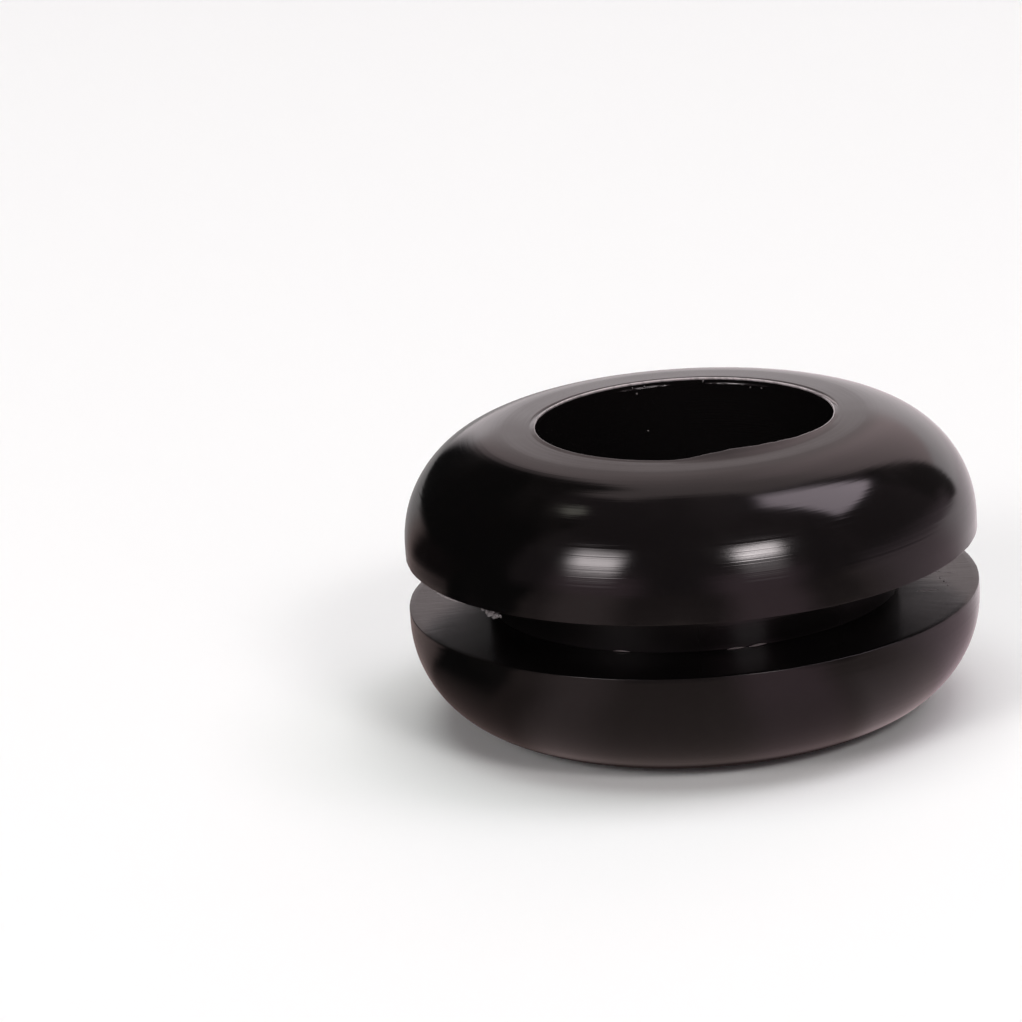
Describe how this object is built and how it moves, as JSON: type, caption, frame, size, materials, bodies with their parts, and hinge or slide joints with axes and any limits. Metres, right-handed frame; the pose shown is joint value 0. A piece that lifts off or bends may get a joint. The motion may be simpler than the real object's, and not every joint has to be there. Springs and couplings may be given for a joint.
{
  "type": "rubber grommet",
  "caption": "Double-sided round rubber grommet: thick rounded flanges, a panel groove between them and a straight cable bore.",
  "frame": {"origin": "on the bore's axis, on the flat end face that the grommet stands on", "axes": "+Z along the bore's axis, from the standing face to the other flat end"},
  "size_m": [0.0192, 0.0192, 0.01],
  "materials": {
    "rubber": "glossy black moulded rubber"
  },
  "bodies": {
    "root": {"grommet": "rubber"}
  },
  "joints": []
}
